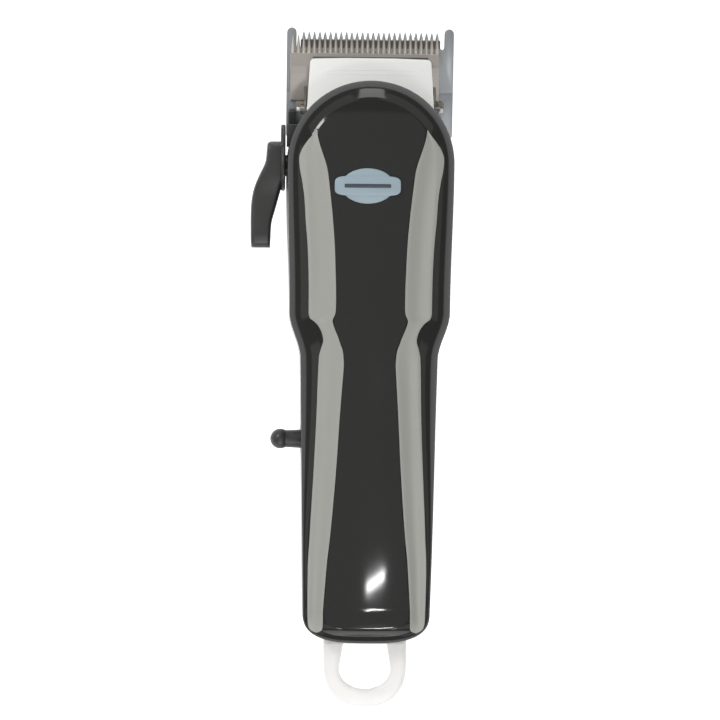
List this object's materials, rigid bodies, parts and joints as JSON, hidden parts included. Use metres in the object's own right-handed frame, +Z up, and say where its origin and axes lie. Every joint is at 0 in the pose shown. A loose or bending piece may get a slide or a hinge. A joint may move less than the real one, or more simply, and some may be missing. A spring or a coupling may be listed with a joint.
{
  "type": "cordless pet clipper",
  "caption": "Cordless pet clipper: a rounded two-part housing with a toothed fixed blade and sliding cutter, a side taper lever, a power toggle and a hanging loop.",
  "frame": {"origin": "on the flat back that the clipper rests on, midway along the housing", "axes": "+X to the right seen from above, with the taper lever on the left; +Y along the housing towards the blade; +Z up out of the cover"},
  "size_m": [0.0568, 0.1904, 0.0388],
  "materials": {
    "cover_black": "satin black moulded shell",
    "shell_silver": "silver lacquer on a moulded shell",
    "inlay_silver": "satin silver trim",
    "badge_blue_grey": "pale blue-grey badge",
    "nose_silver": "satin white-silver",
    "black_plastic": "black moulding",
    "lever_black": "glossy black moulding",
    "loop_clear": "milky translucent moulding",
    "blade_steel": "ground blade steel",
    "cutter_steel": "warm brushed steel",
    "carrier_steel": "grey plated steel",
    "guide_beige": "beige moulding",
    "spring_steel": "spring wire",
    "screw_steel": "zinc-plated steel",
    "motor_steel": "plated motor can",
    "bronze": "sintered bronze",
    "magnet": "ferrite",
    "windings": "lacquered copper wire on an iron core",
    "copper": "copper",
    "crank_white": "acetal",
    "cell_wrap": "shrink sleeve",
    "board_green": "lacquered board",
    "lamp_lens": "diffuse lens",
    "nickel": "nickel plate",
    "wire_red": "wire insulation",
    "wire_black": "wire insulation"
  },
  "bodies": {
    "housing": {"top_cover": "cover_black", "left_inlay": "inlay_silver", "right_inlay": "inlay_silver", "badge": "badge_blue_grey", "lower_shell": "shell_silver", "nose_plate": "nose_silver", "hanging_loop": "loop_clear", "housing_screws": "screw_steel", "blade_guide": "black_plastic", "cutter_guide": "guide_beige", "tension_springs": "spring_steel", "motor_can": "motor_steel", "motor_bush": "bronze", "motor_magnets": "magnet", "motor_end_bell": "black_plastic", "motor_terminals": "copper", "motor_mount": "black_plastic", "mount_screws": "screw_steel", "motor_screws": "screw_steel", "carrier_screws": "screw_steel", "battery_cell": "cell_wrap", "battery_contacts": "nickel", "battery_cradle": "black_plastic", "circuit_board": "board_green", "board_screws": "screw_steel", "board_parts": "black_plastic", "switch_body": "black_plastic", "charging_socket": "black_plastic", "socket_pin": "nickel", "charge_light": "lamp_lens", "motor_wires": "wire_red", "battery_wires": "wire_black", "socket_wires": "wire_red"},
    "rotor": {"motor_shaft": "screw_steel", "armature": "windings", "commutator": "copper", "crank": "crank_white"},
    "cutter": {"moving_cutter": "cutter_steel", "drive_yoke": "crank_white", "yoke_screws": "screw_steel"},
    "blade_slide": {"blade_carrier": "carrier_steel", "fixed_blade": "blade_steel", "blade_screws": "screw_steel"},
    "lever": {"taper_lever": "lever_black", "lever_cam": "screw_steel", "lever_screw": "screw_steel"},
    "toggle": {"switch_toggle": "lever_black"}
  },
  "joints": [
    {"name": "taper_lever_swing", "type": "hinge", "parent": "housing", "child": "lever", "pos_m": [-0.023, 0.055, 0.017], "axis": [-1, 0, 0], "range_deg": [0, 60]},
    {"name": "blade_gap", "type": "slide", "parent": "housing", "child": "blade_slide", "axis": [0, 0.9781, 0.2079], "range_m": [0, 0.0015]},
    {"name": "motor_spin", "type": "hinge", "parent": "housing", "child": "rotor", "pos_m": [0, 0.048, 0.0229], "axis": [0, 1, 0], "continuous": true},
    {"name": "cutter_stroke", "type": "slide", "parent": "housing", "child": "cutter", "axis": [1, 0, 0], "range_m": [0, 0.003]},
    {"name": "power_toggle", "type": "hinge", "parent": "housing", "child": "toggle", "pos_m": [-0.0153, -0.0214, 0.017], "axis": [0, 0, 1], "range_deg": [-12, 12]}
  ],
  "couplings": [
    {"joint": "taper_lever_swing", "follows": "blade_gap", "rad_per_m": 698.13}
  ]
}
